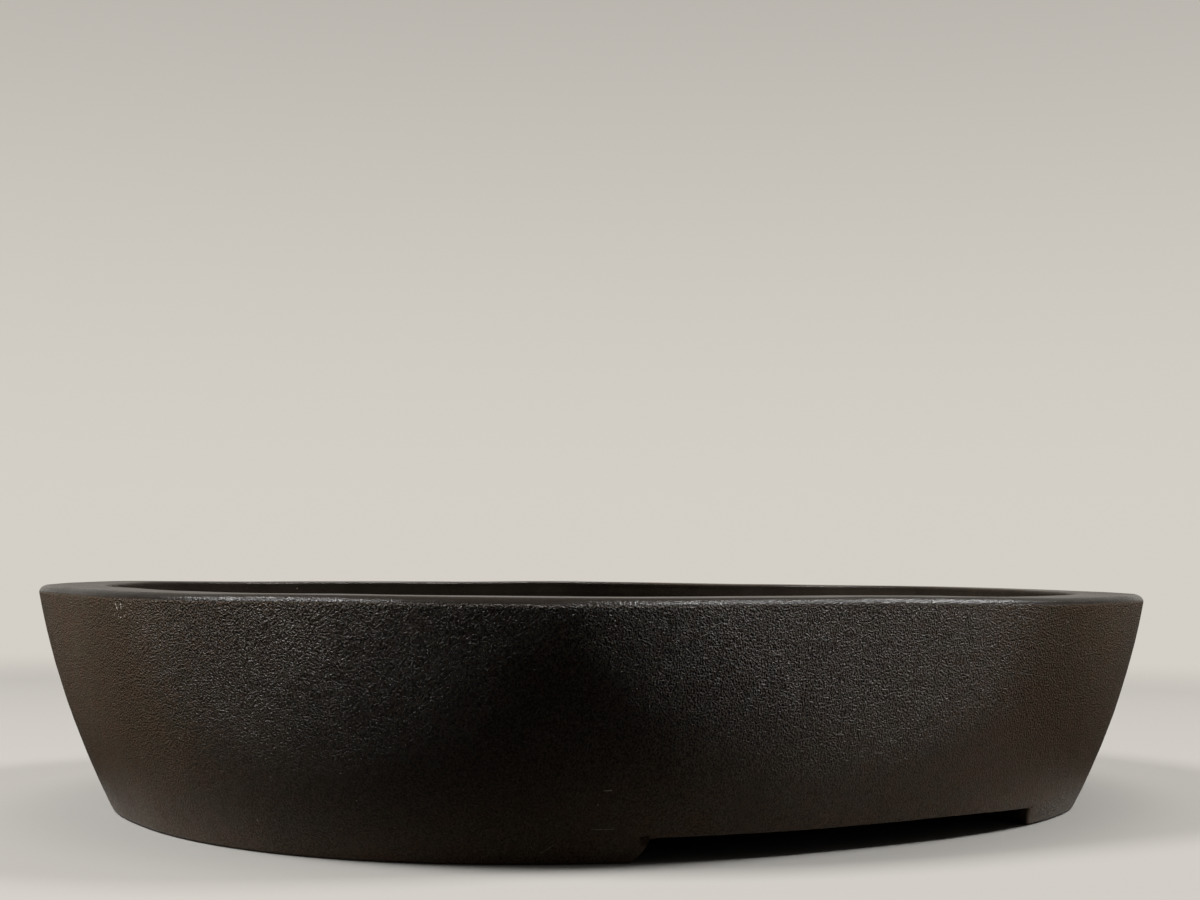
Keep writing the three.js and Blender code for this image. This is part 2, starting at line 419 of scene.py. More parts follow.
def share_normals(piece, seam_points, normals):
    """Gives the outer faces at a seam the normals that the neighbouring piece also has."""
    mesh = piece.data
    wanted = np.zeros((len(mesh.vertices), 3))
    wanted[seam_points] = normals
    loop_vertex = np.zeros(len(mesh.loops), np.int32)
    mesh.loops.foreach_get("vertex_index", loop_vertex)
    face_normal = np.zeros(len(mesh.polygons) * 3)
    mesh.polygons.foreach_get("normal", face_normal)
    sides = np.zeros(len(mesh.polygons), np.int32)
    mesh.polygons.foreach_get("loop_total", sides)
    loop_normal = np.repeat(face_normal.reshape(-1, 3), sides, axis=0)
    shared = wanted[loop_vertex]
    along = np.einsum("ij,ij->i", shared, loop_normal)
    shared[along < 0.7] = 0
    mesh.normals_split_custom_set(shared.tolist())


def ring_piece(name, section, material, seam_rows):
    """A closed ring swept round the oval. Section rows are (inset, z, grain, wear and painted shade,
    relief).
    """
    table = np.array(section)
    angle = np.tile(TURN, len(table))
    inset, z, grain, wear_and_rim_shade, relief = (np.repeat(table[:, i], COLUMNS) for i in range(5))
    points = handmade(oval_points(angle, z, inset), relief)
    piece = build_mesh(name, points, ring_faces(len(table), COLUMNS), material, grain, wear_and_rim_shade)
    seam = np.concatenate([np.arange(COLUMNS) + row * COLUMNS for row in seam_rows])
    share_normals(piece, seam, outer_normals(angle[seam], z[seam]))
    return piece


def wall(material):
    """The oval band with its plain inner side and the cove where it meets the floor."""
    cove_top = FLOOR_TOP + COVE_RADIUS
    outer = [(0, z, 1, 0, 1) for z in rows(FLOOR_TOP, LIP_BASE, ROW)] + [(0, LIP_BASE, 1, 0, 1)]
    inner = [(WALL_THICKNESS, z, INSIDE_GRAIN, 0, 0) for z in rows(LIP_BASE, cove_top, COARSE_ROW)]
    cove = arc(WALL_THICKNESS + COVE_RADIUS, cove_top, COVE_RADIUS, 0, -1, COVE_ROWS)
    section = outer + inner + [(i, z, INSIDE_GRAIN, 0, 0) for i, z in cove]
    return ring_piece("fired_wall", section, material, (0, len(outer) - 1))


def rim_rounding():
    """The lip's outer corner, which hands smoothed, and which painted shade darkens."""
    made = []
    last = RIM_TURN * math.pi / 2
    for n in range(RIM_ROWS + 1):
        share = n / RIM_ROWS
        turn = share * last
        inset = RIM_INSET * (1 - math.cos(turn)) / (1 - math.cos(last))
        z = POT_HEIGHT - RIM_DROP * (1 - math.sin(turn) / math.sin(last))
        smoothed_and_shaded = smooth_step(share, *RIM_SMOOTHED_AND_SHADED)
        wiped = smooth_step(share, *RIM_WIPED)
        # Handling takes away grain; the negative wear paints shade on the rounding
        made.append((inset, z, 1 - RIM_GRAIN_LOST * smoothed_and_shaded, -smoothed_and_shaded, 1 - wiped))
    return made


def mouth_corner(inset, z, start, first_grain, last_grain):
    """A quarter turn of the mouth's edge, slightly worn in its middle."""
    made = []
    for n, (i, level) in enumerate(arc(inset, z, MOUTH_ARRIS, start, start + 1, ARC_ROWS)):
        share = n / ARC_ROWS
        grain = first_grain + (last_grain - first_grain) * share
        made.append((i, level, grain, MOUTH_WEAR * math.sin(math.pi * share), 0))
    return made


def lip(material):
    """The flat lip, from the wall's outside over the rim and the mouth's edge to the wall's inside."""
    top = POT_HEIGHT
    bend = LIP_WIDTH - MOUTH_ARRIS
    low_bend = bend - MOUTH_SLANT
    outer = [(0, z, 1, 0, 1) for z in rows(LIP_BASE, top - RIM_DROP, ROW)]
    flat_places = [RIM_INSET + 0.1 * MM] + rows(RIM_INSET, bend, 1.5 * MM)[1:]
    flat = [(i, top, 0.05, 0, 0) for i in flat_places]
    mouth = mouth_corner(bend, top - MOUTH_ARRIS, 1, 0.05, 0.25)
    slant = MOUTH_SLANT / (top - LIP_BASE)
    edge_levels = rows(top - MOUTH_ARRIS, LIP_BASE + MOUTH_ARRIS, ROW)[1:]
    edge = [(LIP_WIDTH - slant * (top - z), z, 0.15, 0, 0) for z in edge_levels]
    under = mouth_corner(low_bend, LIP_BASE + MOUTH_ARRIS, 2, 0.15, INSIDE_GRAIN)
    back = [(i, LIP_BASE, INSIDE_GRAIN, 0, 0) for i in rows(low_bend, WALL_THICKNESS, COARSE_ROW)[1:]]
    back += [(WALL_THICKNESS, LIP_BASE, 0.4, 0, 0)]
    section = outer + rim_rounding() + flat + mouth + edge + under + back
    return ring_piece("fired_lip", section, material, (0,))


def cheek_reach(z, end, side):
    """How far from the middle a cheek stands at each height, with its round corner under the floor."""
    half, splay, corner = CHEEKS[end, side]
    bend_height = FOOT_HEIGHT - corner
    straight = half + splay * np.maximum(1 - z / bend_height, 0) ** 1.3
    rounded = half - corner + np.sqrt(np.maximum(corner ** 2 - (z - bend_height) ** 2, 0))
    return np.where(z < bend_height, straight, rounded)


def box_skin(us, vs, ws):
    """Lattice points and outward quads on the surface of a box, for right-handed axes u, v, w."""
    shape = (len(us), len(vs), len(ws))
    grid = np.stack(np.meshgrid(us, vs, ws, indexing="ij"), -1)
    skin = np.ones(shape, bool)
    skin[1:-1, 1:-1, 1:-1] = False
    number = np.full(shape, -1)
    number[skin] = np.arange(skin.sum())
    faces = []
    for axis in range(3):
        for last in (False, True):
            sheet = np.take(number, -1 if last else 0, axis=axis)
            quads = np.stack([sheet[:-1, :-1], sheet[1:, :-1], sheet[1:, 1:], sheet[:-1, 1:]], -1)
            quads = quads.reshape(-1, 4)
            facing_out = last != (axis == 1)
            faces.append(quads if facing_out else quads[:, ::-1])
    return grid[skin], np.concatenate(faces)


def stations(length, low, high, step):
    """Places along a length. low and high give each end's rounding and how far fine steps reach."""
    places = []
    for radius, fine in (low, high):
        rounding = [radius * i / EDGE_ROWS for i in range(EDGE_ROWS)]
        places.append(rounding + rows(radius, radius + fine, FINE_ROW) + [radius + fine])
    first = places[0]
    last = [length - s for s in reversed(places[1])]
    middle = rows(first[-1], last[0], step)[1:] if last[0] - first[-1] > step else []
    return np.array(sorted({round(s, 8) for s in first + middle + last}))


def foot(name, end, material):
    """A curved bar under one end of the pot, from the cheek of one opening to that of the other."""
    cheek_end = (FOOT_ARRIS, FINE_REACH)
    along = stations(FOOT_BAR, cheek_end, cheek_end, ROW)
    across = stations(FOOT_DEPTH, (FOOT_ARRIS, 1 * MM), (FOOT_ARRIS, 0), COARSE_ROW)
    up = stations(FOOT_HEIGHT, (FOOT_ARRIS, 0), (0, 4 * MM), FOOT_ROW)
    bar, faces = box_skin(along, across, up)
    core = np.clip(bar, FOOT_ARRIS, np.array([FOOT_BAR, FOOT_DEPTH, FOOT_HEIGHT + FOOT_ARRIS]) - FOOT_ARRIS)
    away = bar - core
    distance = np.linalg.norm(away, axis=1)
    bent = core + away * (FOOT_ARRIS / np.maximum(distance, FOOT_ARRIS))[:, None]
    edges = (np.abs(away) > TINY).sum(axis=1) >= 2
    share, inset, z = bent[:, 0] / FOOT_BAR, bent[:, 1], bent[:, 2]
    ends = []
    for side in (-1, 1):
        x = cheek_reach(z, end, side)
        ends.append(np.arctan2(side * across_oval(x, z, inset), x))
    angle = ends[0] + (ends[1] - ends[0]) * share
    points = oval_points(angle, z, inset)
    on_face = bar[:, 1] == 0
    from_cheek = np.minimum(bent[:, 0], FOOT_BAR - bent[:, 0])
    grain = np.where(on_face, 0.5 + 0.5 * smooth_step(z, 0, 2 * MM), FOOT_GRAIN)
    if end < 0:
        points[:, 0] *= -1
        angle = np.pi - angle
        faces = faces[:, ::-1]
    relief = on_face * smooth_step(from_cheek, 0, 1.5 * MM) * smooth_step(z, 0, 1.5 * MM)
    moved = handmade(points, relief)
    moved[:, 2] = np.where(bar[:, 2] == 0, np.maximum(moved[:, 2], 0), moved[:, 2])
    piece = build_mesh(name, moved, faces.tolist(), material, grain, edges.astype(float))
    past_arris = (bar[:, 0] > FOOT_ARRIS) & (bar[:, 0] < FOOT_BAR - FOOT_ARRIS)
    seam = np.flatnonzero(on_face & (bar[:, 2] == up[-1]) & past_arris)
    share_normals(piece, seam, outer_normals(angle[seam], z[seam]))
    return piece


def floor_sheet(ring, holes):
    """Triangles of one flat side of the floor, between its edge ring and the rings of its holes."""
    rings = [ring] + holes
    fixed = np.concatenate(rings)
    edges = []
    start = 0
    for one in rings:
        count = len(one)
        edges += [(start + i, start + (i + 1) % count) for i in range(count)]
        start += count
    reach_x = int(RIM_LENGTH / 2 / FLOOR_GRID)
    reach_y = int(RIM_WIDTH / 2 / FLOOR_GRID)
    inner = []
    half_length, half_width, squareness = oval_size(FOOT_HEIGHT, 4 * MM)
    for j in range(-reach_y, reach_y + 1):
        for i in range(-reach_x, reach_x + 1):
            x = (i + 0.5 * (j % 2)) * FLOOR_GRID
            y = j * FLOOR_GRID
            if (abs(x) / half_length) ** squareness + (abs(y) / half_width) ** squareness > 1:
                continue
            near = [np.hypot(*(h.mean(0) - (x, y))) - np.hypot(*(h[0] - h.mean(0))) for h in holes]
            if min(near) > 3 * MM:
                inner.append((x, y))
    spots = np.concatenate([fixed, np.array(inner)])
    inside_rings = 1
    made = delaunay_2d_cdt([Vector(p) for p in spots], edges, [], inside_rings, TINY)
    points = np.array([tuple(p) for p in made[0]])
    faces = np.array(made[2])
    start = len(ring)
    for hole in holes:
        in_hole = ((faces >= start) & (faces < start + len(hole))).all(axis=1)
        faces = faces[~in_hole]
        start += len(hole)
    assert len(points) == len(spots), "the floor's points were merged"
    return points, faces


def opening_share():
    """1 for the columns of the floor's edge that show in an opening, and 0 over the feet."""
    edge = oval_points(TURN, FOOT_HEIGHT + 0 * TURN, 0 * TURN)
    share = np.ones(COLUMNS)
    for (end, side), (half, _, corner) in CHEEKS.items():
        top = half - corner
        here = (edge[:, 0] * end >= 0) & (edge[:, 1] * side >= 0)
        share[here] = 1 - smooth_step(np.abs(edge[here, 0]), top - 1.5 * MM, top)
    return share


def floor_band(in_opening):
    """The floor's edge in rows from the bottom up, and the wear of its points."""
    arris = FLUSH_ARRIS + (OPENING_ARRIS - FLUSH_ARRIS) * in_opening
    levels, insets, wears = [], [], []
    for n in range(ARC_ROWS):
        t = n / (ARC_ROWS - 1) * math.pi / 2
        levels.append(FOOT_HEIGHT + arris * (1 - math.cos(t)))
        insets.append(arris * (1 - math.sin(t)))
        wears.append(in_opening * math.sin(2 * t))
    arris_top = FOOT_HEIGHT + OPENING_ARRIS
    fine_top = arris_top + 2 * MM
    for z in rows(arris_top, fine_top, FINE_ROW)[1:] + rows(fine_top, FLOOR_TOP, ROW) + [FLOOR_TOP]:
        levels.append(z + 0 * TURN)
        insets.append(0 * TURN)
        wears.append(0 * TURN)
    z, inset = np.concatenate(levels), np.concatenate(insets)
    points = oval_points(np.tile(TURN, len(levels)), z, inset)
    return handmade(points, np.ones(len(z))), np.concatenate(wears)


def hole_rings(cx, cy, radius, count):
    """Rings of points up one hole through the floor, not quite round and softened at both edges."""
    around = np.arange(count) / count * 2 * np.pi
    wobble = 1 + 0.008 * np.sin(2 * around + cx * 40) + 0.006 * np.sin(3 * around + cy * 30)
    steps = [n / EDGE_ROWS for n in range(EDGE_ROWS + 1)]
    rings = []
    for start, way, places in ((FOOT_HEIGHT, 1, steps), (FLOOR_TOP, -1, steps[::-1])):
        for t in places:
            r = radius * wobble + HOLE_ARRIS * (1 - math.sin(t * math.pi / 2))
            z = start + way * HOLE_ARRIS * (1 - math.cos(t * math.pi / 2))
            rings.append(np.stack([cx + r * np.cos(around), cy + r * np.sin(around), 0 * r + z], -1))
    return rings


def floor(material):
    """The floor slab, with rounded holes, and an arris on its lower edge that shows in the openings."""
    in_opening = opening_share()
    band, band_wear = floor_band(in_opening)
    holes = [(e * DRAIN_ALONG, 0.0, DRAIN_RADIUS, DRAIN_SIDES) for e in (-1, 1)]
    holes += [(e * TIE_ALONG, s * TIE_ACROSS, TIE_RADIUS, TIE_SIDES) for e in (-1, 1) for s in (-1, 1)]
    tubes = [hole_rings(*hole) for hole in holes]
    bottom_xy, bottom_faces = floor_sheet(band[:COLUMNS, :2], [tube[0][:, :2] for tube in tubes])
    top_xy, top_faces = floor_sheet(band[-COLUMNS:, :2], [tube[-1][:, :2] for tube in tubes])

    bottom = np.column_stack([bottom_xy, np.full(len(bottom_xy), FOOT_HEIGHT)])
    bottom[:, 2] -= sag(bottom)
    top_start = len(bottom)
    points = [bottom, np.column_stack([top_xy, np.full(len(top_xy), FLOOR_TOP)])]
    faces = bottom_faces[:, ::-1].tolist() + (top_faces + top_start).tolist()
    grain = [np.full(len(bottom_xy) + len(top_xy), SHEET_GRAIN)]
    wear_and_rim_shade = [np.zeros(len(grain[0]))]

    def join_sheets(start, rings, ring_grain, ring_wear, outward_facing):
        """Adds the rings between the two sheets, whose own rings begin at start, and joins them."""
        count = len(rings[0])
        known = sum(len(p) for p in points)
        ids = [start + np.arange(count)]
        ids += [known + n * count + np.arange(count) for n in range(len(rings))]
        ids.append(top_start + start + np.arange(count))
        points.extend(rings)
        grain.append(np.full(count * len(rings), ring_grain))
        wear_and_rim_shade.append(ring_wear)
        for low, high in zip(ids[:-1], ids[1:]):
            for i in range(count):
                k = (i + 1) % count
                quad = [low[i], low[k], high[k], high[i]]
                faces.append(quad if outward_facing else quad[::-1])

    middle = band[COLUMNS:-COLUMNS]
    middle_rows = np.split(middle, len(middle) // COLUMNS)
    join_sheets(0, middle_rows, 1.0, band_wear[COLUMNS:-COLUMNS], True)
    start = COLUMNS
    for tube in tubes:
        rings = tube[1:-1]
        count = len(rings[0])
        join_sheets(start, rings, INSIDE_GRAIN, np.full(count * len(rings), 0.3), False)
        start += count

    all_grain = np.concatenate(grain)
    all_grain[:COLUMNS] = 1
    all_grain[top_start:top_start + COLUMNS] = 1
    all_points = np.concatenate(points)
    piece = build_mesh("fired_floor", all_points, faces, material, all_grain, np.concatenate(wear_and_rim_shade))
    flush = np.flatnonzero(in_opening < 0.001)
    seam = np.concatenate([flush, top_start + np.arange(COLUMNS)])
    seam_angle = np.concatenate([TURN[flush], TURN])
    seam_z = np.concatenate([np.full(len(flush), FOOT_HEIGHT), np.full(COLUMNS, FLOOR_TOP)])
    share_normals(piece, seam, outer_normals(seam_angle, seam_z))
    return piece


# Marks of use on the outside, from one place to another: degrees round the oval and height
MARKS = (
    ((-168.75, 80.9 * MM), (-168.48, 78.6 * MM), 0.36 * MM, 0.9),
    ((-167.72, 81.0 * MM), (-167.77, 79.3 * MM), 0.30 * MM, 0.75),
    ((-169.20, 77.0 * MM), (-169.12, 76.9 * MM), 0.34 * MM, 0.8),
    ((-168.49, 76.4 * MM), (-168.40, 76.3 * MM), 0.30 * MM, 0.7),
    ((-168.14, 76.1 * MM), (-168.02, 76.2 * MM), 0.30 * MM, 0.8),
    ((-167.36, 76.7 * MM), (-167.30, 76.7 * MM), 0.28 * MM, 0.6),
    ((-122.05, 24.5 * MM), (-121.35, 24.5 * MM), 0.20 * MM, 0.75),
    ((-123.29, 11.9 * MM), (-121.02, 11.8 * MM), 0.14 * MM, 0.35),
    ((-128.39, 4.0 * MM), (-127.00, 7.0 * MM), 0.14 * MM, 0.35),
    ((-163.00, 37.0 * MM), (-162.95, 37.1 * MM), 0.30 * MM, 0.8),
    ((-152.90, 26.7 * MM), (-152.85, 26.7 * MM), 0.26 * MM, 0.7),
    ((-144.80, 20.4 * MM), (-144.76, 20.5 * MM), 0.26 * MM, 0.7),
    ((-62.50, 67.7 * MM), (-62.45, 67.7 * MM), 0.30 * MM, 0.8),
    ((-66.50, 58.0 * MM), (-66.45, 58.1 * MM), 0.26 * MM, 0.7),
    ((-71.00, 46.7 * MM), (-70.95, 46.7 * MM), 0.26 * MM, 0.7),
    ((-83.70, 40.1 * MM), (-83.66, 40.2 * MM), 0.30 * MM, 0.8),
    ((-50.90, 37.3 * MM), (-50.85, 37.3 * MM), 0.26 * MM, 0.7),
    ((74.00, 52.0 * MM), (74.90, 51.2 * MM), 0.22 * MM, 0.6),
    ((131.00, 68.0 * MM), (131.05, 68.1 * MM), 0.30 * MM, 0.8),
    ((28.00, 31.0 * MM), (28.05, 31.0 * MM), 0.28 * MM, 0.7),
)


# Materials

class Nodes:
    """Short calls for building the nodes of the world or of a material."""

    def __init__(self, tree):
        self.tree = tree

    def add(self, kind, **settings):
        node = self.tree.nodes.new(kind)
        for key, value in settings.items():
            setattr(node, key, value)
        return node

    def join(self, source, socket):
        if isinstance(source, bpy.types.NodeSocket):
            self.tree.links.new(source, socket)
        else:
            socket.default_value = source

    def fill(self, node, **values):
        """Sets or joins a node's inputs, whose names have underscores for spaces."""
        for name, value in values.items():
            self.join(value, node.inputs[name.replace("_", " ")])

    def math(self, operation, a, b=0.0, clamp=False):
        node = self.add("ShaderNodeMath", operation=operation, use_clamp=clamp)
        self.join(a, node.inputs[0])
        self.join(b, node.inputs[1])
        return node.outputs[0]

    def vector(self, operation, a, b):
        node = self.add("ShaderNodeVectorMath", operation=operation)
        self.join(a, node.inputs[0])
        self.join(b, node.inputs[1])
        return node.outputs["Value" if operation in ("DOT_PRODUCT", "DISTANCE") else "Vector"]

    def ramp(self, value, low, high, start=0.0, stop=1.0):
        """Value mapped smoothly from low..high to start..stop."""
        node = self.add("ShaderNodeMapRange", interpolation_type="SMOOTHSTEP")
        self.fill(node, Value=value, From_Min=low, From_Max=high, To_Min=start, To_Max=stop)
        return node.outputs["Result"]

    def seen_rays(self):
        """1 for rays that see the background itself, also in a reflection, and 0 for its light."""
        path = self.add("ShaderNodeLightPath")
        direct = self.math("MAXIMUM", path.outputs["Is Camera Ray"], path.outputs["Is Glossy Ray"])
        return self.math("MAXIMUM", direct, path.outputs["Is Transmission Ray"])

    def mix_shaders(self, amount, a, b):
        """a where the amount is 0, b where it is 1."""
        node = self.add("ShaderNodeMixShader")
        self.join(amount, node.inputs["Fac"])
        self.join(a, node.inputs[1])
        self.join(b, node.inputs[2])
        return node.outputs["Shader"]


class Recipe(Nodes):
    """A material, its shader and short calls for its textures."""

    def __init__(self, name):
        self.material = bpy.data.materials.new(name)
        self.material.use_nodes = True
        super().__init__(self.material.node_tree)
        self.shader = self.tree.nodes["Principled BSDF"]
        self.place = self.add("ShaderNodeTexCoord").outputs["Object"]

    def attribute(self, name):
        return self.add("ShaderNodeAttribute", attribute_name=name).outputs["Fac"]

    def stretch(self, scale):
        node = self.add("ShaderNodeMapping")
        self.fill(node, Vector=self.place, Scale=scale)
        return node.outputs["Vector"]

    def length(self, vector):
        node = self.add("ShaderNodeVectorMath", operation="LENGTH")
        self.join(vector, node.inputs[0])
        return node.outputs["Value"]

    def noise(self, size, detail=2.0, rough=0.5, distortion=0.0, place=None):
        node = self.add("ShaderNodeTexNoise")
        self.fill(node, Vector=place or self.place, Scale=1 / size)
        self.fill(node, Detail=detail, Roughness=rough, Distortion=distortion)
        return node.outputs["Fac"]

    def cells(self, size):
        node = self.add("ShaderNodeTexVoronoi", feature="F1")
        self.fill(node, Vector=self.place, Scale=1 / size)
        return node

    def blend(self, amount, a, b, kind="FLOAT", **settings):
        """a where the amount is 0, b where it is 1."""
        node = self.add("ShaderNodeMix", data_type=kind, **settings)
        self.fill(node, Factor=amount, A=a, B=b)
        return node.outputs["Result"]

    def mix(self, amount, a, b, how="MIX"):
        """The same for colours."""
        return self.blend(amount, a, b, "RGBA", blend_type=how)

    def stroke(self, start, stop, width):
        """1 on a thin stroke between two points and 0 away from it."""
        along = stop - start
        slope = along / along.length_squared
        reach = self.math("SUBTRACT", self.vector("DOT_PRODUCT", self.place, slope), slope.dot(start), True)
        nearest = self.vector("MULTIPLY", self.mix(reach, (0, 0, 0, 1), (1, 1, 1, 1)), along)
        distance = self.vector("DISTANCE", self.vector("SUBTRACT", self.place, start), nearest)
        return self.ramp(distance, width * 0.5, width, 1.0, 0.0)

    def bump(self, height, strength, distance):
        node = self.add("ShaderNodeBump")
        self.fill(node, Height=height, Strength=strength, Distance=distance)
        return node.outputs["Normal"]

    def set(self, **values):
        self.fill(self.shader, **values)


def rgb(red, green, blue):
    return (red, green, blue, 1.0)


# Colours of the fired clay, each pair from its darker to its paler kind, with painted shade and painted
# highlights among them
CLAY = (rgb(0.066, 0.0430, 0.025), rgb(0.082, 0.0545, 0.033))
# Darker clay where the grain is faint, inside the pot, on the lip and under the floor: partly a smoother
# clay, partly painted shade
SMOOTH_CLAY_AND_SHADE = (rgb(0.014, 0.0105, 0.0077), rgb(0.023, 0.0176, 0.0128))
CLAY_PATCH = rgb(0.074, 0.045, 0.027)
CLAY_TINTS = (rgb(1.07, 0.97, 0.95), rgb(0.96, 1.03, 1.0))
# Painted shade that darkens the pits of the grain
PAINTED_PIT_SHADE = rgb(0.012, 0.008, 0.005)
# Painted highlight on the crests of the grain
PAINTED_CREST_HIGHLIGHT = rgb(0.115, 0.092, 0.072)
PALE_DOT = rgb(0.34, 0.28, 0.21)
WORN_CLAY = rgb(0.120, 0.088, 0.062)
# Painted shade on the rim's rounding, below the flat of the lip
PAINTED_RIM_SHADE = rgb(0.011, 0.0085, 0.0065)
SCRATCH = rgb(0.50, 0.45, 0.38)

# How far full wear and the full painted shade on the rim change the clay's colour, and how strongly the
# clay reflects
WORN_SHARE = 0.3
RIM_SHADE_SHARE = 0.8
CLAY_SPECULAR = 0.17


def stoneware():
    """Dark brown iron-rich clay with a pear-skin grain, smoother where it was wiped.

    Wear is above 0 where edges are rubbed pale, and below 0 on the rim's rounding, where painted shade
    darkens it.
    """
    r = Recipe("stoneware")
    grain = r.attribute("grain")
    wear_and_rim_shade = r.attribute("wear_and_rim_shade")
    strength = r.math("MULTIPLY", grain, r.attribute("share"))

    pits = r.noise(0.62 * MM, detail=1.0, rough=0.4, distortion=0.45)
    skin = r.noise(0.34 * MM, detail=1.0, rough=0.5)
    height = r.math("ADD", pits, r.math("MULTIPLY", skin, 0.22))

    clay = r.mix(r.ramp(r.noise(60 * MM, 3.0), 0.35, 0.65), *CLAY)
    patch = r.ramp(r.noise(14 * MM, 3.0), 0.5, 0.72, 0.0, 0.45)
    clay = r.mix(patch, clay, CLAY_PATCH)
    tint = r.ramp(r.noise(7 * MM, 2.0), 0.40, 0.60)
    tinted = [r.mix(1.0, clay, colour, "MULTIPLY") for colour in CLAY_TINTS]
    clay = r.mix(tint, *tinted)
    smooth_clay_and_shade = r.mix(r.ramp(r.noise(20 * MM, 5.0, 0.6), 0.3, 0.7), *SMOOTH_CLAY_AND_SHADE)
    # Where the grain is faint the darker clay is used; it partly paints shade
    clay = r.mix(r.ramp(grain, 0.2, 0.9), smooth_clay_and_shade, clay)
    # Painted shade: the grain's pits are darkened as if shaded
    pit_shade = r.math("MULTIPLY", r.ramp(pits, 0.36, 0.54, 0.9, 0.0), strength)
    clay = r.mix(pit_shade, clay, PAINTED_PIT_SHADE)
    # Painted highlight: the grain's crests are lightened as if catching light
    crest_highlight = r.math("MULTIPLY", r.ramp(pits, 0.52, 0.66, 0.0, 0.6), strength)
    clay = r.mix(crest_highlight, clay, PAINTED_CREST_HIGHLIGHT)

    dots = r.cells(9 * MM)
    dot = r.ramp(dots.outputs["Distance"], 0.030, 0.045, 1.0, 0.0)
    chosen = r.ramp(dots.outputs["Color"], 0.62, 0.64)
    clay = r.mix(r.math("MULTIPLY", dot, chosen), clay, PALE_DOT)
    clay = r.mix(r.math("MULTIPLY", wear_and_rim_shade, WORN_SHARE, True), clay, WORN_CLAY)
    # Painted shade: the rim's rounding is darkened where the wear is below 0
    clay = r.mix(r.math("MULTIPLY", wear_and_rim_shade, -RIM_SHADE_SHARE, True), clay, PAINTED_RIM_SHADE)
    for start, stop, width, strong in MARKS:
        ends = np.array([start, stop])
        spots = oval_points(np.radians(ends[:, 0]), ends[:, 1], np.zeros(2))
        first, last = (Vector(p) for p in handmade(spots, np.ones(2)).tolist())
        clay = r.mix(r.math("MULTIPLY", r.stroke(first, last, width), strong), clay, SCRATCH)

    worn = r.ramp(r.noise(22 * MM, 3.0), 0.3, 0.7, 0.0, 0.06)
    rough = r.math("ADD", r.ramp(pits, 0.38, 0.60, 0.46, 0.27), worn)
    wiped = r.math("ADD", r.ramp(grain, 0.08, 0.2, 0.32, 0.22), worn)
    rough = r.blend(r.ramp(grain, 0.22, 0.42), wiped, rough)
    normal = r.bump(height, strength, 2.8 * MM)
    r.set(Base_Color=clay, Roughness=rough, Normal=normal, Specular_IOR_Level=CLAY_SPECULAR)
    return r.material


def screen_plastic():
    r = Recipe("screen_plastic")
    tone = r.mix(r.ramp(r.noise(9 * MM, 3.0), 0.3, 0.7), rgb(0.010, 0.012, 0.011), rgb(0.020, 0.023, 0.021))
    dust = r.ramp(r.noise(2.2 * MM, 4.0, 0.65), 0.55, 0.78, 0.0, 0.35)
    tone = r.mix(dust, tone, rgb(0.09, 0.08, 0.065))
    rough = r.ramp(r.noise(1.5 * MM, 2.0), 0.3, 0.7, 0.38, 0.55)
    normal = r.bump(r.noise(0.5 * MM, 2.0), 0.25, 0.1 * MM)
    r.set(Base_Color=tone, Roughness=rough, Normal=normal)
    return r.material


def staple_wire():
    r = Recipe("staple_wire")
    drawn = r.noise(0.35 * MM, 2.0, place=r.stretch((0.06, 1, 1)))
    tone = r.mix(r.ramp(drawn, 0.3, 0.7), rgb(0.25, 0.125, 0.07), rgb(0.38, 0.21, 0.125))
    scuffed = r.ramp(r.noise(2.4 * MM, 3.0, 0.7), 0.6, 0.72)
    tone = r.mix(scuffed, tone, rgb(0.55, 0.47, 0.40))
    rough = r.ramp(drawn, 0.3, 0.7, 0.26, 0.42)
    normal = r.bump(drawn, 0.3, 0.06 * MM)
    r.set(Base_Color=tone, Roughness=rough, Normal=normal, Metallic=1.0)
    return r.material


# Screens and staples

# Faces of one square of a screen's bars: the neighbour that would hide the face, and its corners
SQUARE_FACES = (
    (None, ((0, 0, 1), (1, 0, 1), (1, 1, 1), (0, 1, 1))),
    (None, ((0, 0, 0), (0, 1, 0), (1, 1, 0), (1, 0, 0))),
    ((-1, 0), ((0, 0, 0), (0, 0, 1), (0, 1, 1), (0, 1, 0))),
    ((1, 0), ((1, 0, 0), (1, 1, 0), (1, 1, 1), (1, 0, 1))),
    ((0, -1), ((0, 0, 0), (1, 0, 0), (1, 0, 1), (0, 0, 1))),
    ((0, 1), ((0, 1, 0), (0, 1, 1), (1, 1, 1), (1, 1, 0))),
)

# The cut ends of a wire: how far each ring lies from the tip in millimetres, and its share of the radius
WIRE_TIP = ((0.0, 0.55), (0.12, 0.85), (0.3, 1.0))


def screen(name, node, material):
    """The moulded square mesh, with softened bars."""
    low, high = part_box(node)
    width = high.x - low.x
    pitch = SCREEN_GAP + SCREEN_BAR
    cells = 2 * round((width - SCREEN_BAR) / pitch) + 1
    centre = (low + high) / 2
    points, faces = [], []
    known = {}

    def edge(line):
        return (line // 2) * pitch + (line % 2) * SCREEN_BAR - width / 2

    def solid(i, j):
        return 0 <= i < cells and 0 <= j < cells and (i % 2 == 0 or j % 2 == 0)

    def corner(i, j, k):
        key = (i, j, k)
        if key not in known:
            known[key] = len(points)
            points.append((edge(i) + centre.x, edge(j) + centre.y, high.z if k else low.z))
        return known[key]

    for i in range(cells):
        for j in range(cells):
            if not solid(i, j):
                continue
            for beside, spots in SQUARE_FACES:
                if beside is None or not solid(i + beside[0], j + beside[1]):
                    faces.append([corner(i + di, j + dj, k) for di, dj, k in spots])
    flat = np.zeros(len(points))
    piece = build_mesh(name, np.array(points), faces, material, flat, flat)
    bevel = piece.modifiers.new("softened bars", "BEVEL")
    bevel.width = SCREEN_SOFTENED
    bevel.segments = 2
    bevel.limit_method = "ANGLE"
    return piece


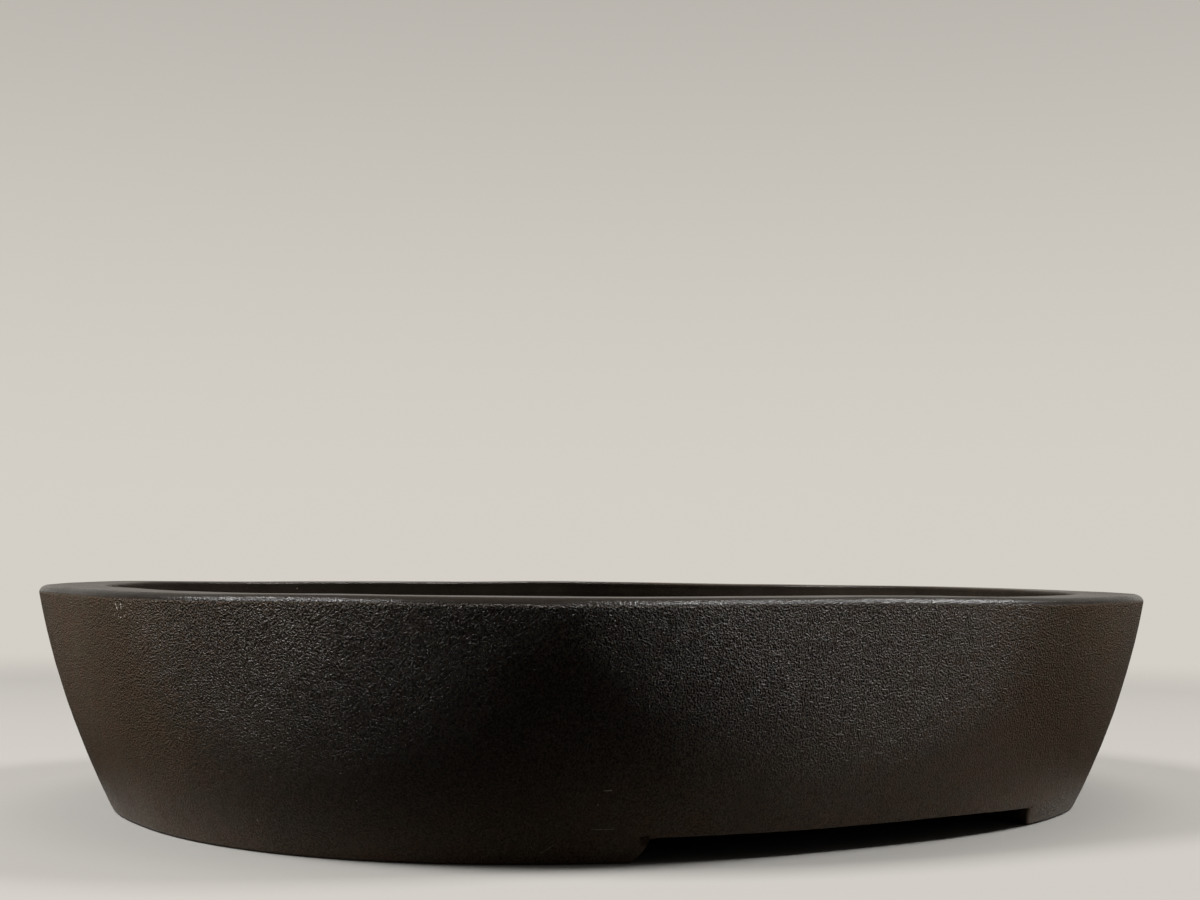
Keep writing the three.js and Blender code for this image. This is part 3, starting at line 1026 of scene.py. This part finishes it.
def wire_path(corners):
    """Closely spaced points along a wire that turns round bends at its corners."""
    path = [corners[0]]
    for before, here, after in zip(corners[:-2], corners[1:-1], corners[2:]):
        here = Vector(here)
        start = here + (Vector(before) - here).normalized() * WIRE_BEND
        stop = here + (Vector(after) - here).normalized() * WIRE_BEND
        for n in range(WIRE_BEND_STEPS + 1):
            t = n / WIRE_BEND_STEPS
            path.append(tuple(start.lerp(here, t).lerp(here.lerp(stop, t), t)))
    path.append(corners[-1])
    path = np.array(path)
    fine = []
    for a, b in zip(path[:-1], path[1:]):
        count = max(1, round(np.linalg.norm(b - a) / WIRE_STEP))
        fine += [a + (b - a) * i / count for i in range(count)]
    return np.array(fine + [path[-1]])


def staple(name, node, material):
    """Bent wire: a span over the screen, legs down through the hole and tails under the floor."""
    low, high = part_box(node)
    radius = (high.y - low.y) / 2
    middle_x, y = (low.x + high.x) / 2, (low.y + high.y) / 2
    top, under = high.z - radius, low.z + radius
    tail, leg = (high.x - low.x) / 2, WIRE_LEG
    path = wire_path([(-tail, under), (-leg, under), (-leg, top), (leg, top), (leg, under), (tail, under)])
    direction = np.gradient(path, axis=0)
    direction /= np.linalg.norm(direction, axis=1)[:, None]
    rings = [(path[0] + direction[0] * away * MM, direction[0], scale) for away, scale in WIRE_TIP]
    rings += [(p, d, 1.0) for p, d in zip(path[1:-1], direction[1:-1])]
    for away, scale in reversed(WIRE_TIP):
        rings.append((path[-1] - direction[-1] * away * MM, direction[-1], scale))
    points = []
    for (px, pz), (dx, dz), scale in rings:
        for n in range(WIRE_SIDES):
            t = n / WIRE_SIDES * 2 * math.pi
            across, up = radius * scale * math.cos(t), radius * scale * math.sin(t)
            points.append((middle_x + px - dz * up, y + across, pz + dx * up))
    faces = []
    last = (len(rings) - 1) * WIRE_SIDES
    for start in range(0, last, WIRE_SIDES):
        beyond = start + WIRE_SIDES
        for n in range(WIRE_SIDES):
            k = (n + 1) % WIRE_SIDES
            faces.append([start + n, beyond + n, beyond + k, start + k])
    faces.append(list(range(WIRE_SIDES)))
    faces.append([last + n for n in reversed(range(WIRE_SIDES))])
    flat = np.zeros(len(points))
    return build_mesh(name, np.array(points), faces, material, flat, flat)


# Stage, light and camera

# The camera that took the photograph, found by fitting the pot's outlines to it
PHOTO_WIDTH = 1200
FOCAL_PIXELS = 1811.5
CAMERA_DISTANCE = 762.3 * MM
CAMERA_HEIGHT = 97.26 * MM
CAMERA_PITCH = 0.06009
CAMERA_YAW = -0.00419
CAMERA_ROLL = -0.01048
POT_TURN = 0.56101
SENSOR = 36.0
VIEW_RANGE = (0.01, 50)

# The pale wall behind the pot: its colour, how dark it gets and how far up
BACKGROUND = rgb(0.66, 0.625, 0.57)
WALL_DIM = 0.2
WALL_RISE = (0.0, 0.8)

# The light of the whole room, and how dim its side behind the photographer is in reflections
ROOM_COLOUR = rgb(1.0, 0.97, 0.93)
ROOM_LIGHT = 0.08
ROOM_DIM = 0.12
ROOM_SIDES = (0.1, 0.9)

# The floor: its fade into the background, and how much of the background the camera sees in it
# outside the pot's foot, counted in sizes of the foot
FLOOR_PALE = rgb(0.25, 0.242, 0.228)
FLOOR_ROUGHNESS = 0.9
FLOOR_REACH = 9.0
FLOOR_SIDES = 96
FLOOR_FADE = (0.4, 1.2)
FLOOR_EVEN = 0.45
FLOOR_CLEAR = (1.0, 1.35)

# The part of the floor that reflections and bounced light meet, like a small table: how far it
# reaches from the middle all round, and towards the photographer
TABLE_SIDES = (0.19, 0.24)
TABLE_EDGE = (0.185, 0.215)

# The lamps: degrees round from the photographer, positive to the right, and power
LAMPS = (("lamp_left", -69, 54), ("lamp_right", 94, 42))
LAMP_ELEVATION = 50
LAMP_DISTANCE = 1.7
LAMP_SIZE = 0.45


def toward_camera():
    """Level direction from the pot to the photographer."""
    return Vector((math.sin(-POT_TURN), -math.cos(-POT_TURN), 0))


def stage():
    """A pale floor that keeps the pot's shadow and fades into the background with distance."""
    points = [(0.0, 0.0, 0.0)]
    for n in range(FLOOR_SIDES):
        t = n / FLOOR_SIDES * 2 * math.pi
        points.append((FLOOR_REACH * math.cos(t), FLOOR_REACH * math.sin(t), 0.0))
    faces = [[0, 1 + n, 1 + (n + 1) % FLOOR_SIDES] for n in range(FLOOR_SIDES)]
    mesh = bpy.data.meshes.new("studio_floor")
    mesh.from_pydata(points, [], faces)
    r = Recipe("studio_floor")
    camera_ray = r.add("ShaderNodeLightPath").outputs["Is Camera Ray"]
    away = r.length(r.place)
    front = r.vector("DOT_PRODUCT", r.place, toward_camera())
    table = r.math("MULTIPLY", r.ramp(away, *TABLE_SIDES, 1.0, 0.0), r.ramp(front, *TABLE_EDGE, 1.0, 0.0))
    reflected = r.math("MULTIPLY", r.seen_rays(), r.math("MAXIMUM", table, ROOM_DIM))
    seen = r.math("MAXIMUM", camera_ray, reflected)
    level = r.math("MAXIMUM", seen, table)
    tone = r.mix(level, rgb(0, 0, 0), FLOOR_PALE)
    r.set(Base_Color=tone, Roughness=FLOOR_ROUGHNESS, Specular_IOR_Level=0.0)
    glow = r.add("ShaderNodeEmission")
    r.fill(glow, Color=BACKGROUND)
    far = r.math("MULTIPLY", r.ramp(away, *FLOOR_FADE), seen)
    oval = r.length(r.stretch((2 / FOOT_LENGTH, 2 / FOOT_WIDTH, 1)))
    even = r.math("MULTIPLY", camera_ray, r.ramp(oval, *FLOOR_CLEAR, 0.0, FLOOR_EVEN))
    glowing = r.math("MAXIMUM", far, even)
    surface = r.mix_shaders(glowing, r.shader.outputs["BSDF"], glow.outputs["Emission"])
    r.join(surface, r.tree.nodes["Material Output"].inputs["Surface"])
    mesh.materials.append(r.material)
    floor_object = bpy.data.objects.new("studio_floor", mesh)
    bpy.context.scene.collection.objects.link(floor_object)


def area_lamp(name, azimuth, power):
    """A soft square lamp aimed at the pot."""
    a, e = math.radians(-math.degrees(POT_TURN) + azimuth), math.radians(LAMP_ELEVATION)
    back = Vector((math.sin(a) * math.cos(e), -math.cos(a) * math.cos(e), math.sin(e)))
    lamp = bpy.data.lights.new(name, "AREA")
    lamp.shape = "RECTANGLE"
    lamp.size = LAMP_SIZE
    lamp.size_y = LAMP_SIZE
    lamp.energy = power
    thing = bpy.data.objects.new(name, lamp)
    bpy.context.scene.collection.objects.link(thing)
    thing.location = back * LAMP_DISTANCE + Vector((0, 0, POT_HEIGHT / 2))
    thing.rotation_mode = "QUATERNION"
    thing.rotation_quaternion = back.to_track_quat("Z", "Y")


def lights():
    """Dim light from the whole room, a lamp on either side, and a pale background all round.

    In reflections the part of the room behind the photographer is darker than the pale wall.
    """
    world = bpy.data.worlds.new("studio")
    bpy.context.scene.world = world
    world.use_nodes = True
    sky = Nodes(world.node_tree)
    room = sky.tree.nodes["Background"]
    sky.fill(room, Color=ROOM_COLOUR, Strength=ROOM_LIGHT)
    direction = sky.add("ShaderNodeTexCoord").outputs["Generated"]
    facing = sky.vector("DOT_PRODUCT", direction, -toward_camera())
    camera_ray = sky.add("ShaderNodeLightPath").outputs["Is Camera Ray"]
    level = sky.math("MAXIMUM", sky.ramp(facing, *ROOM_SIDES, ROOM_DIM, 1.0), camera_ray)
    split = sky.add("ShaderNodeSeparateXYZ")
    sky.join(direction, split.inputs[0])
    upper = sky.ramp(split.outputs["Z"], *WALL_RISE, 1.0, WALL_DIM)
    pale = sky.add("ShaderNodeBackground")
    sky.fill(pale, Color=BACKGROUND, Strength=sky.math("MULTIPLY", level, upper))
    surface = sky.mix_shaders(sky.seen_rays(), room.outputs["Background"], pale.outputs["Background"])
    sky.join(surface, sky.tree.nodes["World Output"].inputs["Surface"])
    for name, azimuth, power in LAMPS:
        area_lamp(name, azimuth, power)


def camera():
    eye = Vector((0, -CAMERA_DISTANCE, CAMERA_HEIGHT))
    forward = Vector((
        math.sin(CAMERA_YAW) * math.cos(CAMERA_PITCH),
        math.cos(CAMERA_YAW) * math.cos(CAMERA_PITCH),
        math.sin(CAMERA_PITCH),
    ))
    level = Vector((math.cos(CAMERA_YAW), -math.sin(CAMERA_YAW), 0))
    down = forward.cross(level)
    right = level * math.cos(CAMERA_ROLL) + down * math.sin(CAMERA_ROLL)
    fall = down * math.cos(CAMERA_ROLL) - level * math.sin(CAMERA_ROLL)
    turn = Matrix.Rotation(-POT_TURN, 3, "Z")
    right, up, back, eye = turn @ right, turn @ -fall, turn @ -forward, turn @ eye
    data = bpy.data.cameras.new("camera")
    data.sensor_width = SENSOR
    data.sensor_fit = "HORIZONTAL"
    data.lens = FOCAL_PIXELS / PHOTO_WIDTH * SENSOR
    data.clip_start, data.clip_end = VIEW_RANGE
    thing = bpy.data.objects.new("camera", data)
    bpy.context.scene.collection.objects.link(thing)
    axes = Matrix((right, up, back)).transposed()
    thing.matrix_world = Matrix.Translation(eye) @ axes.to_4x4()
    bpy.context.scene.camera = thing


def main():
    clay = stoneware()
    pieces = [
        (wall(clay), "wall_band", "stoneware"),
        (lip(clay), "rim_lip", "stoneware"),
        (floor(clay), "floor_slab", "stoneware"),
        (foot("fired_foot_left", -1, clay), "foot_left", "stoneware"),
        (foot("fired_foot_right", 1, clay), "foot_right", "stoneware"),
    ]
    plastic, wire = screen_plastic(), staple_wire()
    for side in ("left", "right"):
        net, clip = f"drain_screen_{side}", f"screen_clip_{side}"
        pieces.append((screen(f"moulded_screen_{side}", net, plastic), net, "plastic_mesh"))
        pieces.append((staple(f"bent_staple_{side}", clip, wire), clip, "wire"))
    for piece, node, slot in pieces:
        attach(piece, "root")
        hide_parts(node)
    stage()
    lights()
    camera()
    bpy.context.scene.view_settings.view_transform = "Standard"


main()
